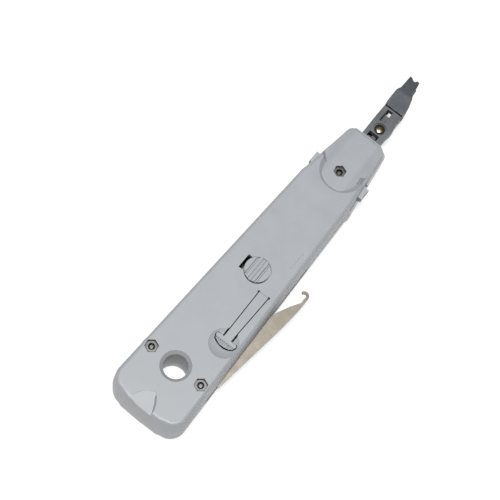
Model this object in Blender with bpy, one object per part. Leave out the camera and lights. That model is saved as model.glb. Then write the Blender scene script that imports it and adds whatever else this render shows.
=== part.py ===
"""Insertion tool for telephone terminal blocks, as an assembly of separate pieces.

The frame: +Y runs along the tool towards its working tip, +X points to the side
where the hook folds out, +Z is up. The origin is on the flat underside, on the
centre line, half way along the handle. The hook stands a little way out of its
slot, and everything else is at rest. Numbers are millimetres until a mesh is made.
"""

import math

import bmesh
import bpy
from mathutils import Matrix, Vector

MM = 0.001

# ---- the handle --------------------------------------------------------------------
TAIL_Y = -70.3
LOWER_NOSE_Y = 72.3
UPPER_NOSE_Y = 71.4
HANDLE_H = 20.5
LOWER_RIM_Z = 10.4
UPPER_RIM_Z = 10.7
WALL = 2.0
TAIL_CORNER_R = 6.5
NOSE_CORNER_R = 3.2
# stations of the half-width along Y, from the tail corner to the nose
LOWER_SIDE = ((-63.0, 16.0), (42.0, 12.45), (43.2, 12.85), (72.3, 9.0))
UPPER_SIDE = ((-63.0, 15.9), (41.5, 12.3), (43.2, 11.9), (72.3, 8.3))

HANGER_Y = -50.0
HANGER_R = 4.6
HANGER_RIM_R = 5.85
TAIL_SCREW_X = 11.24
TAIL_SCREW_Y = -49.8
NOSE_SCREW_Y = 49.9

# ---- the fasteners -----------------------------------------------------------------
TAIL_SCREW_R = 1.0
TAIL_NUT_AF = 4.0
TAIL_NUT_Z = (18.1, 19.7)
NOSE_SCREW_R = 1.0
NOSE_NUT_AF = 4.0
NOSE_NUT_Z = (16.9, 18.3)
SCREW_HEAD_Z = (0.6, 2.2)
SCREW_HEAD_R = 1.95
NUT_POCKET_PLAY = 0.5
FIT = 0.3

# ---- the folding hook and knife ----------------------------------------------------
HOOK_OUT_DEG = 8.2
HOOK_Z = (8.4, 9.4)
SPACER_Z = (7.5, 8.1)
KNIFE_Z = (6.2, 7.2)
SLEEVE_R = 2.0
EYE_R = 3.3
EYE_HOLE_R = 2.3
TOOL_SLOT_Y = (-50.8, 14.0)
TOOL_SLOT_Z = 5.9

# ---- the sliding head --------------------------------------------------------------
HEAD_X = 0.35
HEAD_Z = (7.2, 13.2)
HEAD_REAR_Y = 42.0
HEAD_STEP_Y = 88.0
TIP_Z = (6.7, 13.7)
TIP_Y = 105.8
RIVET_X = 2.6
RIVET_Y = 93.2
BLADE_Z = (9.0, 10.6)
PIVOT_X = 0.6
PIVOT_Y = 78.0
PIVOT_R = 1.2
FOLLOWER_ARM = 16.5
FOLLOWER_R = 0.8
HEAD_TRAVEL = 5.0
CUTTER_SWING_DEG = 5.0
ROD_R = 1.5
ROD_Z = 10.2
ABUTMENT_Y = (9.0, 10.5)
CROSS_PIN_Y = 44.5

# ---- the controls ------------------------------------------------------------------
TONGUE_X = 8.0
TONGUE_ROOT_Y = -8.7
TONGUE_Z = (18.9, 20.5)
T_HEAD_Y = (-33.4, -30.4)
DISH_Y = -32.5
DISH_R = 5.8
BUTTON_X = 0.3
BUTTON_Y = -2.9
BUTTON_R = 4.9
LOCK_Y = (49.2, 54.2)
LOCK_TAB_Z = (9.3, 12.4)
LOCK_SLOT_Y = (42.8, 56.4)


# ---- helpers -----------------------------------------------------------------------
def clear_scene():
    for old in list(bpy.data.objects):
        bpy.data.objects.remove(old, do_unlink=True)


def make_material(name, colour, roughness, metallic=0.0):
    made = bpy.data.materials.new(name)
    made.use_nodes = True
    shader = made.node_tree.nodes["Principled BSDF"]
    shader.inputs["Base Color"].default_value = (*colour, 1.0)
    shader.inputs["Roughness"].default_value = roughness
    shader.inputs["Metallic"].default_value = metallic
    made.diffuse_color = (*colour, 1.0)
    return made


def add_object(name, mesh_maker, material=None):
    """Make an object from a bmesh in millimetres; with no material it is a guide."""
    bmesh.ops.recalc_face_normals(mesh_maker, faces=mesh_maker.faces)
    bmesh.ops.scale(mesh_maker, vec=(MM, MM, MM), verts=mesh_maker.verts)
    mesh = bpy.data.meshes.new(name)
    mesh_maker.to_mesh(mesh)
    mesh_maker.free()
    made = bpy.data.objects.new(name, mesh)
    bpy.context.collection.objects.link(made)
    if material is None:
        made.hide_render = True
        made.display_type = "WIRE"
    else:
        mesh.materials.append(material)
        mesh.shade_smooth()
        mesh.set_sharp_from_angle(angle=math.radians(35))
    return made


def add_axis(name, x, y, z, turn_deg=0.0):
    """Add the empty that a moving body's pieces hang on, on its joint's axis."""
    axis = bpy.data.objects.new(name, None)
    axis.location = (x * MM, y * MM, z * MM)
    axis.rotation_euler = (0.0, 0.0, math.radians(turn_deg))
    bpy.context.collection.objects.link(axis)
    return axis


def hang(piece, axis, modelled_in_place=True):
    """Parent a piece to its axis; a piece not modelled in place has the axis as its origin."""
    piece.parent = axis
    if modelled_in_place:
        piece.matrix_parent_inverse = Matrix.Translation(-axis.location)
    return piece


def apply_tool(piece, tool, operation="DIFFERENCE"):
    boolean = piece.modifiers.new(tool.name, "BOOLEAN")
    boolean.operation = operation
    boolean.solver = "EXACT"
    boolean.object = tool
    return piece


def cut(piece, *tools):
    for tool in tools:
        apply_tool(piece, tool)


def join(piece, *tools):
    for tool in tools:
        apply_tool(piece, tool, "UNION")


def arc(x, y, radius, start_deg, end_deg, steps):
    points = []
    for step in range(steps + 1):
        angle = math.radians(start_deg + (end_deg - start_deg) * step / steps)
        points.append((x + radius * math.cos(angle), y + radius * math.sin(angle)))
    return points


def add_loft(work, rings):
    """Skin closed rings of equal length into one closed shape in the bmesh."""
    rows = [[work.verts.new(point) for point in ring] for ring in rings]
    count = len(rows[0])
    for lower, upper in zip(rows, rows[1:]):
        for index in range(count):
            after = (index + 1) % count
            work.faces.new((lower[index], lower[after], upper[after], upper[index]))
    work.faces.new(list(reversed(rows[0])))
    work.faces.new(rows[-1])


def loft(name, rings, material=None):
    work = bmesh.new()
    add_loft(work, rings)
    return add_object(name, work, material)


def prism(name, outline, z_range, material=None):
    return loft(name, [[(x, y, z) for x, y in outline] for z in z_range], material)


def box(name, x_range, y_range, z_range, material=None):
    left, right = x_range
    near, far = y_range
    outline = [(left, near), (right, near), (right, far), (left, far)]
    return prism(name, outline, z_range, material)


def circle(x, y, radius, steps=24):
    return arc(x, y, radius, 0, 360 - 360 / steps, steps - 1)


def hexagon(x, y, across_flats):
    return arc(x, y, across_flats / math.sqrt(3), 9, 309, 5)


def disc(name, x, y, radius, z_range, material=None, steps=24):
    return prism(name, circle(x, y, radius, steps), z_range, material)


def rod_along_y(name, x, z, radius, y_range, material=None, steps=20):
    rings = []
    for y in y_range:
        rings.append([(x + radius * math.cos(a), y, z + radius * math.sin(a))
                      for a in [-math.tau * step / steps for step in range(steps)]])
    return loft(name, rings, material)


def inset_loop(points, distance):
    """Draw a counter-clockwise outline in by a distance, with mitred corners."""
    count = len(points)
    moved = []
    for index in range(count):
        here = Vector(points[index])
        into = (here - Vector(points[index - 1])).normalized()
        out = (Vector(points[(index + 1) % count]) - here).normalized()
        normal_in = Vector((-into.y, into.x))
        bisector = (normal_in + Vector((-out.y, out.x))).normalized()
        reach = distance / bisector.dot(normal_in)
        moved.append(tuple(here + bisector * reach))
    return moved


def half_width(side, y):
    """Half-width of the handle at y, straight between the stations of a side."""
    for (y0, half0), (y1, half1) in zip(side, side[1:]):
        if y <= y1:
            return half0 + (half1 - half0) * (y - y0) / (y1 - y0)
    return side[-1][1]


def handle_outline(side, nose_y):
    """Counter-clockwise plan of the handle with round corners and gently bowed ends."""
    corner_y = side[0][0]
    corner_x = side[0][1] - TAIL_CORNER_R
    right = [(0.0, TAIL_Y), (corner_x * 0.6, TAIL_Y + 0.25)]
    right += arc(corner_x, corner_y, TAIL_CORNER_R, -84, 0, 7)
    right += [(half, y) for y, half in side[1:-1]]
    slope_deg = 7.5
    centre_y = nose_y - NOSE_CORNER_R
    meet_y = centre_y + NOSE_CORNER_R * math.sin(math.radians(slope_deg))
    centre_x = half_width(side, meet_y) - NOSE_CORNER_R * math.cos(math.radians(slope_deg))
    right += arc(centre_x, centre_y, NOSE_CORNER_R, slope_deg, 86, 5)
    left = [(-x, y) for x, y in reversed(right[1:])]
    return right + [(0.0, nose_y + 0.2)] + left


def cover_ring(side, nose_y, z, inset):
    return [(x, y, z) for x, y in inset_loop(handle_outline(side, nose_y), inset)]


# ---- the two covers ----------------------------------------------------------------
def lower_cover(material):
    """Moulded tray with the screw bosses, the tool slot and the ledge round the nose."""
    profile = ((0.0, 1.6), (0.5, 0.65), (1.6, 0.25), (LOWER_RIM_Z, 0.0),
               (LOWER_RIM_Z, WALL), (WALL, WALL + 0.3))
    rings = [cover_ring(LOWER_SIDE, LOWER_NOSE_Y, z, inset) for z, inset in profile]
    cover = loft("lower_cover", rings, material)

    floor_z = WALL - 0.5
    bosses = [
        disc("lower_hanger_boss", 0, HANGER_Y, HANGER_R + 2.0, (floor_z, LOWER_RIM_Z), steps=32),
        disc("lower_left_boss", -TAIL_SCREW_X, TAIL_SCREW_Y, 3.5, (floor_z, LOWER_RIM_Z)),
        disc("lower_right_boss", TAIL_SCREW_X, TAIL_SCREW_Y, 3.5, (floor_z, TOOL_SLOT_Z)),
        disc("lower_nose_boss", 0, NOSE_SCREW_Y, 2.9, (floor_z, HEAD_Z[0] - 0.4)),
        box("cam_seat", (-6.0, 7.0), (53.0, 65.0), (floor_z, 4.0)),
    ]
    for near in (ABUTMENT_Y[0] - 1.8, ABUTMENT_Y[1] + 0.3):
        bosses.append(box(f"abutment_rib_{near:.0f}", (-8.6, -4.6), (near, near + 1.5), (floor_z, 9.0)))
        bosses.append(box(f"abutment_rib_right_{near:.0f}", (4.6, 7.2), (near, near + 1.5), (floor_z, 9.0)))
    bosses.append(box("spring_clamp_post", (4.0, 6.5), (-56.6, -54.0), (floor_z, 9.8)))
    join(cover, *bosses)

    head_half = 4.25 + 0.5
    cut(
        cover,
        disc("lower_hanger_hole", 0, HANGER_Y, HANGER_R, (-1, 12), steps=32),
        disc("lower_left_screw_hole", -TAIL_SCREW_X, TAIL_SCREW_Y, TAIL_SCREW_R + FIT, (-1, 12)),
        disc("lower_right_screw_hole", TAIL_SCREW_X, TAIL_SCREW_Y, TAIL_SCREW_R + FIT, (-1, 12)),
        disc("lower_nose_screw_hole", 0, NOSE_SCREW_Y, NOSE_SCREW_R + FIT, (-1, 12)),
        disc("left_counterbore", -TAIL_SCREW_X, TAIL_SCREW_Y, 2.7, (-1, SCREW_HEAD_Z[1] + FIT)),
        disc("right_counterbore", TAIL_SCREW_X, TAIL_SCREW_Y, 2.7, (-1, SCREW_HEAD_Z[1] + FIT)),
        disc("nose_counterbore", 0, NOSE_SCREW_Y, 2.3, (-1, SCREW_HEAD_Z[1] + FIT)),
        box("lower_nose_mouth", (HEAD_X - head_half, HEAD_X + head_half + 0.5), (66, 75),
            (HEAD_Z[0] - 0.4, 12)),
        box("tool_slot", (10.4, 18), TOOL_SLOT_Y, (TOOL_SLOT_Z, 12)),
        disc("eye_pocket", TAIL_SCREW_X, TAIL_SCREW_Y, EYE_R + FIT, (TOOL_SLOT_Z, 12)),
        box("lower_lock_slot", (-15, 15), LOCK_SLOT_Y, (LOCK_TAB_Z[0] - FIT, 12)),
    )
    return cover


def nut_pocket(name, x, y, across_flats, nut_z):
    return prism(name, hexagon(x, y, across_flats + NUT_POCKET_PLAY), (nut_z[0] - FIT, HANDLE_H + 1.5))


def upper_cover(material):
    """Moulded lid with the nut pockets, the tongue's opening, the finger dish and the nose."""
    nose = ((18.5, WALL + 0.8, 67.6), (UPPER_RIM_Z, WALL, UPPER_NOSE_Y), (UPPER_RIM_Z, 0.0, UPPER_NOSE_Y),
            (15.0, 0.3, 70.9), (18.6, 0.55, 69.4), (19.9, 0.95, 68.4), (HANDLE_H, 1.7, 67.9))
    rings = [cover_ring(UPPER_SIDE, nose_y, z, inset) for z, inset, nose_y in nose]
    cover = loft("upper_cover", rings, material)

    ceiling_z = 19.0
    join(
        cover,
        disc("upper_hanger_boss", 0, HANGER_Y, HANGER_R + 2.0, (UPPER_RIM_Z, ceiling_z), steps=32),
        disc("upper_left_boss", -TAIL_SCREW_X, TAIL_SCREW_Y, 3.8, (UPPER_RIM_Z, ceiling_z)),
        disc("upper_right_boss", TAIL_SCREW_X, TAIL_SCREW_Y, 3.8, (UPPER_RIM_Z, ceiling_z)),
        prism("nose_filler", [(-9.0, 40.5), (9.0, 40.5), (9.0, 57), (7.3, 66.5), (-7.3, 66.5), (-9.0, 57)],
              (15.9, ceiling_z)),
    )

    hanger_bore = loft("upper_hanger_hole", [
        [(x, y, z) for x, y in circle(0, HANGER_Y, radius, 32)]
        for z, radius in ((9, HANGER_R), (HANDLE_H - 1.0, HANGER_R), (HANDLE_H + 0.3, HANGER_RIM_R + 0.3))
    ])
    dish = loft("thumb_dish", [
        [(x, y, HANDLE_H - 1.3) for x, y in circle(TONGUE_X, DISH_Y, 3.6, 28)],
        [(x, y, HANDLE_H - 0.9) for x, y in circle(TONGUE_X, DISH_Y, 4.9, 28)],
        [(x, y, HANDLE_H + 0.2) for x, y in circle(TONGUE_X, DISH_Y, DISH_R + 0.15, 28)],
    ])
    scoop_plan = ((-5.6, -74, 19.6), (4.7, -74, 18.9), (4.1, -68.6, 19.2), (3.1, -65.8, 19.3),
                  (1.6, -63.4, 19.5), (0.3, -61.9, 20.4), (-1.0, -62.6, 20.4), (-3.0, -64.0, 20.4),
                  (-4.5, -66.3, 20.4), (-5.0, -68.2, 20.4))
    scoop_top = [(x + 0.08 * (x + 6), y * 1.06 + 4.32, 22) for x, y, _ in scoop_plan]
    nose_outline = arc(0.9, 50.3, 9.2, 180, 360, 12) + [(10.6, 56), (12, 80), (-12, 80), (-9.6, 56)]
    cut(
        cover,
        hanger_bore,
        dish,
        prism("tongue_opening", tongue_outline(0.35), (17, 22)),
        disc("left_slit_end", TONGUE_X - 2.2, TONGUE_ROOT_Y - 0.2, 0.5, (18, 22), steps=16),
        disc("right_slit_end", TONGUE_X + 2.2, TONGUE_ROOT_Y, 0.5, (18, 22), steps=16),
        box("button_slot", (-5.9, 3.1), (BUTTON_Y - 3.2, BUTTON_Y + 3.1), (17, 22)),
        disc("button_recess", BUTTON_X, BUTTON_Y, BUTTON_R + 0.35, (HANDLE_H - 0.6, 22), steps=32),
        loft("tail_scoop", [scoop_plan, scoop_top]),
        prism("nose_dish", nose_outline, (19.5, 22)),
    )
    for hand, name in ((-1, "left"), (1, "right")):
        x = hand * TAIL_SCREW_X
        cut(
            cover,
            nut_pocket(f"{name}_nut_pocket", x, TAIL_SCREW_Y, TAIL_NUT_AF, TAIL_NUT_Z),
            disc(f"{name}_screw_hole", x, TAIL_SCREW_Y, TAIL_SCREW_R + FIT, (9, 19)),
        )
        inner = [(hand * 4.6, 50.4, 19.5), (hand * 4.6, 80, 19.5)]
        outer = [(hand * 14, 80, 16.1), (hand * 14, 50.4, 16.1)]
        shoulder = inner + outer
        cut(cover, loft(f"{name}_shoulder", [shoulder, [(px, py, 23) for px, py, _ in shoulder]]))
    cut(
        cover,
        nut_pocket("nose_nut_pocket", 0, NOSE_SCREW_Y, NOSE_NUT_AF, NOSE_NUT_Z),
        disc("upper_nose_screw_hole", 0, NOSE_SCREW_Y, NOSE_SCREW_R + FIT, (9, 18)),
        box("upper_nose_mouth", (HEAD_X - 4.75, HEAD_X + 5.25), (64, 75), (9, HEAD_Z[1] + 0.9)),
        box("upper_lock_slot", (-15, 15), LOCK_SLOT_Y, (9, LOCK_TAB_Z[1] + FIT)),
    )
    return cover


# ---- the release tongue and the ejector --------------------------------------------
def tongue_outline(grow):
    """Plan of the T-headed tongue; grow widens it into the slits that free it."""
    head_near, head_far = T_HEAD_Y
    root_half = 2.0 + grow
    neck_half = 1.6 + grow
    slit = 0.35 if grow else 0.0
    under = 1.7 * grow
    right = [
        (1.0, head_near - under), (2.6, head_near + 0.4 - under), (3.9 + 0.4 * grow, head_near + 1.1 - under),
        (4.4 + grow, head_near + 2.2 - 0.5 * grow), (4.2 + grow, head_far - 0.2),
        (3.9 + grow, head_far + grow), (neck_half + slit, head_far + grow),
        (neck_half + slit, -27.2), (neck_half, -26.6), (root_half, TONGUE_ROOT_Y + grow),
    ]
    left = [(-x, y) for x, y in reversed(right)]
    return [(TONGUE_X + x, y) for x, y in right + left]


def release_tongue(material):
    """Springy tongue with a T-shaped finger pad and a peg over the folded tools."""
    tongue = prism("release_tongue", tongue_outline(0.0), TONGUE_Z, material)
    peg = disc("tongue_peg", TONGUE_X + 0.4, -31.9, 1.3, (11.4, 19.4), steps=16)
    join(tongue, peg)
    return tongue


def eject_button(material):
    """Round ribbed thumb button on a stem that runs in the slot across the cover."""
    base_z = HANDLE_H + FIT
    button = disc("eject_button", BUTTON_X, BUTTON_Y, BUTTON_R, (base_z, base_z + 0.9), material, 36)
    stem = box("button_stem", (-2.6, 2.7), (BUTTON_Y - 2.8, BUTTON_Y + 2.8), (18.5, base_z + 0.2))
    join(button, stem)
    for x, wide in ((-2.1, 0.7), (0.3, 1.3), (2.5, 0.7)):
        groove = box(f"button_groove_{x:.0f}", (x - wide / 2, x + wide / 2), (-9, 4),
                     (base_z + 0.35, base_z + 2))
        cut(button, groove)
    return button


def eject_carrier(material):
    """Slide under the cover that the button's stem snaps into, with the pusher arm."""
    carrier = box("eject_carrier", (-4.5, 8.4), (BUTTON_Y - 3.4, BUTTON_Y + 3.4), (16.6, 18.2), material)
    arm = box("eject_arm", (6.9, 8.4), (BUTTON_Y - 2.6, BUTTON_Y + 2.6), (6.4, 17.0))
    join(carrier, arm)
    return carrier


# ---- the fasteners -----------------------------------------------------------------
def screw_rings(x, y, shank_r, tip_z):
    """Pan-headed screw standing on its head, as the rings of a turned profile."""
    head_low, head_high = SCREW_HEAD_Z
    profile = ((head_low, SCREW_HEAD_R - 0.4), (head_low + 0.4, SCREW_HEAD_R), (head_high, SCREW_HEAD_R),
               (head_high, shank_r), (tip_z - 0.3, shank_r), (tip_z, shank_r - 0.3))
    return [[(px, py, z) for px, py in circle(x, y, radius, 20)] for z, radius in profile]


def nut(name, x, y, across_flats, hole_r, z_range, material):
    """Hexagon nut with a round hole, as four joined loops closed into a ring."""
    work = bmesh.new()
    low, high = z_range
    steps = 24
    hexagon_corners = hexagon(x, y, across_flats)
    outer = []
    for corner in range(6):
        start = Vector(hexagon_corners[corner])
        end = Vector(hexagon_corners[(corner + 1) % 6])
        outer += [tuple(start.lerp(end, part / 4)) for part in range(4)]
    inner = arc(x, y, hole_r, 9, 9 + 360 - 360 / steps, steps - 1)
    loops = [(outer, low), (outer, high), (inner, high), (inner, low)]
    rows = [[work.verts.new((px, py, z)) for px, py in loop] for loop, z in loops]
    for lower, upper in zip(rows, rows[1:] + rows[:1]):
        for index in range(steps):
            after = (index + 1) % steps
            work.faces.new((lower[index], lower[after], upper[after], upper[index]))
    return add_object(name, work, material)


def tail_screw(name, x, material):
    return loft(name, screw_rings(x, TAIL_SCREW_Y, TAIL_SCREW_R, 19.4), material)


def nose_screw(material):
    return loft("nose_screw", screw_rings(0, NOSE_SCREW_Y, NOSE_SCREW_R, 18.0), material)


# ---- the folding tools -------------------------------------------------------------
def ring_piece(name, x, y, outer_r, inner_r, z_range, material):
    ring = disc(name, x, y, outer_r, z_range, material)
    cut(ring, disc(f"{name}_bore", x, y, inner_r, (z_range[0] - 1, z_range[1] + 1)))
    return ring


def tool_blank(tip_outline):
    """Outline of a folded tool about its pivot: eye, slim neck, then the wide leaf."""
    eye = arc(0, 0, EYE_R, 165, 345, 9)
    neck = [(0.7, 4.2), (1.2, 5.6), (3.74, 6.7)]
    back = [(-4.0, 34.0), (-4.0, 8.0)]
    return eye + [(0.7, 3.2)] + neck + tip_outline + back


def folding_tool(name, tip_outline, z_range, axis, material):
    blade = prism(name, tool_blank(tip_outline), z_range, material)
    eye_hole = disc(f"{name}_eye", 0, 0, EYE_HOLE_R, (z_range[0] - 1, z_range[1] + 1))
    cut(blade, eye_hole)
    hang(blade, axis, modelled_in_place=False)
    hang(eye_hole, axis, modelled_in_place=False)
    return blade


def hook_blade(axis, material):
    """Flat spring-steel leaf ending in the small hook that pulls wires."""
    crook = arc(-0.2, 54.95, 1.9, 15, 165, 6)
    inner_crook = arc(-0.2, 54.95, 0.85, 180, -25, 6)
    tip = [(2.0, 53.1)] + crook + inner_crook + [(0.93, 52.2), (-0.8, 48.0), (-2.6, 42.4)]
    return folding_tool("hook_blade", tip, HOOK_Z, axis, material)


def knife_blade(axis, material):
    """Flat leaf with a chisel end for prising modules out of their frame."""
    tip = [(2.3, 47.0), (1.6, 54.6), (0.2, 54.9), (-1.3, 47.0), (-2.6, 42.4)]
    return folding_tool("knife_blade", tip, KNIFE_Z, axis, material)


def tool_detent_spring(material):
    """Flat spring strip behind the two eyes, clamped at its inner end."""
    strip = [(7.2, -53.9), (13.2, -54.1), (13.2, -53.5), (7.2, -53.3), (7.2, -52.6), (6.8, -52.6),
             (6.8, -56.2), (7.2, -56.2)]
    return prism("tool_detent_spring", strip, (KNIFE_Z[0], HOOK_Z[1]), material)


# ---- the head ----------------------------------------------------------------------
def head_frame(material):
    """Channel-shaped carrier that slides in the nose and holds the blades."""
    outline = [(-3.9, HEAD_REAR_Y), (4.6, HEAD_REAR_Y), (4.6, 77.9), (5.0, 80.6), (4.9, 82.2), (4.4, 83.2),
               (4.4, HEAD_STEP_Y), (-4.1, HEAD_STEP_Y), (-4.1, 80.0), (-3.9, 74.0)]
    frame = prism("head_frame", outline, HEAD_Z, material)
    low, high = BLADE_Z
    cut(
        frame,
        box("blade_channel", (-2.4, 3.6), (57, 90), (low - FIT, high + FIT)),
        box("nose_screw_slot", (-1.5, 1.5), (NOSE_SCREW_Y - 1.4, NOSE_SCREW_Y + HEAD_TRAVEL + 1.6), (5, 15)),
        disc("pivot_bore", PIVOT_X, PIVOT_Y, PIVOT_R + FIT, (5, 15)),
        disc("pivot_seat", PIVOT_X, PIVOT_Y, 2.6, (HEAD_Z[1] - 0.9, 15)),
        box("top_window", (-1.9, 0.5), (PIVOT_Y + 3.2, 87.2), (high, 15)),
        box("rear_window", (-2.0, 2.4), (69, 75), (high, 15)),
        box("bottom_window", (-1.4, 0.6), (86.9, 90), (5, low)),
        box("follower_slot", (-0.6, 3.2), (60.2, 62.8), (5, low)),
        rod_along_y("rod_bore", HEAD_X, ROD_Z, ROD_R + FIT, (40, 47.2)),
        disc("cross_pin_bore", HEAD_X, CROSS_PIN_Y, 0.8, (5, 15), steps=12),
    )
    return frame


def insertion_blade(material):
    """Upper half of the working end, with the notch that pushes the wire home."""
    low = BLADE_Z[1] + FIT
    far = HEAD_STEP_Y + FIT
    outline = [(-4.1, far), (4.4, far), (4.4, 90.3), (4.0, 93.4), (3.1, 96.4), (2.3, 97.5), (1.5, 98.6),
               (1.3, 103.2), (0.9, 105.6), (-0.2, TIP_Y), (-0.7, 104.8), (-1.8, 104.8), (-2.7, 105.6),
               (-3.7, TIP_Y), (-3.7, 98.4), (-4.2, 97.5), (-4.5, 96.3), (-4.4, 90.2)]
    blade = prism("insertion_blade", outline, (low, TIP_Z[1]), material)
    skirt = prism("insertion_skirt", [(-4.3, far), (-2.6, far), (-2.6, 105.0), (-3.6, 105.0), (-3.6, 98.4),
                                      (-4.3, 96.3)], (BLADE_Z[0], low + 0.5))
    bevel = loft("tip_bevel", [
        [(-6, 97, 13.7), (6, 97, 13.7), (6, 108, 12.0), (-6, 108, 12.0)],
        [(-6, 97, 15.0), (6, 97, 15.0), (6, 108, 15.0), (-6, 108, 15.0)],
    ])
    join(blade, skirt)
    cut(blade, bevel)
    return blade


def fixed_cutter(material):
    """Lower half of the working end, the anvil that the moving cutter shears against."""
    far = HEAD_STEP_Y + FIT
    outline = [(-4.1, far), (4.4, far), (4.4, 90.3), (4.0, 93.4), (3.1, 96.4), (1.9, 98.4), (1.6, 103.0),
               (0.9, 105.0), (-3.7, 105.0), (-3.7, 98.4), (-4.5, 96.3), (-4.4, 90.2)]
    cutter = prism("fixed_cutter", outline, (TIP_Z[0], BLADE_Z[0] - FIT), material)
    bevel = loft("anvil_bevel", [
        [(-6, 97, 5.5), (6, 97, 5.5), (6, 108, 5.5), (-6, 108, 5.5)],
        [(-6, 97, 6.7), (6, 97, 6.7), (6, 108, 7.9), (-6, 108, 7.9)],
    ])
    cut(cutter, bevel, box("anvil_window", (-1.4, 0.6), (86, 91), (5, 10)))
    for x in (-RIVET_X, RIVET_X):
        cut(cutter, disc(f"rivet_hole_{x:.0f}", x, RIVET_Y, 0.95, (5, 10), steps=16))
    return cutter


def tip_rivet(name, x, material):
    return disc(name, x, RIVET_Y, 0.65, (6.9, 8.6), material, 14)


def cutter_pivot_pin(material):
    """Domed brass pin through the head, on which the moving cutter turns."""
    profile = ((7.4, PIVOT_R), (12.6, PIVOT_R), (12.6, 2.15), (13.0, 2.15), (13.35, 1.6), (13.55, 0.8))
    rings = [[(x, y, z) for x, y in circle(PIVOT_X, PIVOT_Y, radius, 24)] for z, radius in profile]
    return loft("cutter_pivot_pin", rings, material)


def moving_cutter(axis, material):
    """Scissor blade: cutting arm ahead of the eye, follower arm behind it."""
    eye_r = 2.6
    outline = [(-0.9, -FOLLOWER_ARM - 1.1), (0.9, -FOLLOWER_ARM - 1.1)]
    outline += arc(0, 0, eye_r, -68, 28, 6)
    outline += [(2.5, 10.0), (2.5, 18.0), (2.1, 20.5), (1.1, 22.4), (1.1, 25.0), (0.5, 25.4), (0.0, 24.4),
                (-0.2, 12.0), (-0.3, 7.0), (-1.1, 4.6)]
    outline += arc(0, 0, eye_r, 115, 248, 8)
    cutter = prism("moving_cutter", outline, BLADE_Z, material)
    eye_hole = disc("cutter_eye", 0, 0, PIVOT_R + FIT, (BLADE_Z[0] - 1, BLADE_Z[1] + 1))
    cut(cutter, eye_hole)
    hang(cutter, axis, modelled_in_place=False)
    hang(eye_hole, axis, modelled_in_place=False)
    return cutter


def cutter_follower_pin(axis, material):
    pin = disc("cutter_follower_pin", 0, -FOLLOWER_ARM, FOLLOWER_R, (4.7, BLADE_Z[0] - FIT), material, 16)
    return hang(pin, axis, modelled_in_place=False)


def cutter_cam_plate(material):
    """Steel plate with the slanted slot that swings the cutter as the head goes in."""
    swing = FOLLOWER_ARM * math.sin(math.radians(CUTTER_SWING_DEG))
    start = Vector((PIVOT_X, PIVOT_Y - FOLLOWER_ARM))
    end = Vector((PIVOT_X + swing, PIVOT_Y - FOLLOWER_ARM - HEAD_TRAVEL))
    along = math.degrees(math.atan2(end.y - start.y, end.x - start.x))
    slot_r = FOLLOWER_R + 0.35
    slot = arc(end.x, end.y, slot_r, along - 90, along + 90, 8)
    slot += arc(start.x, start.y, slot_r, along + 90, along + 270, 8)
    plate = box("cutter_cam_plate", (-5.5, 6.5), (53.2, 64.6), (4.3, 6.3), material)
    cut(plate, prism("cam_slot", slot, (3, 8)))
    return plate


# ---- the spring set ----------------------------------------------------------------
def plunger_rod(material):
    rod = rod_along_y("plunger_rod", HEAD_X, ROD_Z, ROD_R, (3.6, 46.8), material)
    cut(rod, disc("rod_cross_hole", HEAD_X, CROSS_PIN_Y, 0.8, (8, 13), steps=12))
    return rod


def rod_cross_pin(material):
    return disc("rod_cross_pin", HEAD_X, CROSS_PIN_Y, 0.5, (7.4, 13.0), material, 12)


def rod_clip(material):
    """Retaining washer behind the abutment; it stops the head at its forward end."""
    clip = rod_along_y("rod_clip", HEAD_X, ROD_Z, 3.0, (7.6, 8.4), material)
    cut(clip, rod_along_y("rod_clip_bore", HEAD_X, ROD_Z, ROD_R + FIT, (7, 9)))
    return clip


def spring_abutment(material):
    """Steel plate across the handle that backs the return spring."""
    plate = box("spring_abutment", (-7.4, 7.4), ABUTMENT_Y, (2.4, 18.1), material)
    cut(plate, rod_along_y("abutment_bore", HEAD_X, ROD_Z, ROD_R + 0.4, (8, 12)))
    return plate


def return_spring(material):
    """Helical compression spring round the plunger rod."""
    mean_r = 3.1
    wire_r = 0.45
    turns = 8
    steps = turns * 14
    sides = 6
    near = ABUTMENT_Y[1] + FIT + wire_r
    far = HEAD_REAR_Y - FIT - wire_r
    rings = []
    for step in range(steps + 1):
        turn = math.tau * turns * step / steps
        y = near + (far - near) * step / steps
        radial = Vector((math.cos(turn), 0, math.sin(turn)))
        centre = Vector((HEAD_X, y, ROD_Z)) + radial * mean_r
        ring = []
        for side in range(sides):
            angle = math.tau * side / sides
            offset = radial * math.cos(angle) + Vector((0, 1, 0)) * math.sin(angle)
            ring.append(tuple(centre + offset * wire_r))
        rings.append(ring)
    return loft("return_spring", rings, material)


# ---- the cutter lock ---------------------------------------------------------------
def cutter_lock_slider(material):
    """Bridge over the head with a thumb tab out of each side of the nose."""
    slider = box("cutter_lock_slider", (-7.4, 7.4), (46.4, LOCK_Y[1]), (14.0, 15.4), material)
    for hand, name in ((-1, "left"), (1, "right")):
        arm = box(f"lock_arm_{name}", sorted((hand * 6.2, hand * 7.6)), LOCK_Y, (LOCK_TAB_Z[0], 15.0))
        tab = box(f"lock_tab_{name}", sorted((hand * 7.0, hand * 12.7)), LOCK_Y, LOCK_TAB_Z)
        join(slider, arm, tab)
    cut(slider, box("lock_screw_slot", (-1.5, 1.5), (NOSE_SCREW_Y - 3.0, LOCK_Y[1] + 1), (13, 17)))
    return slider


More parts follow.
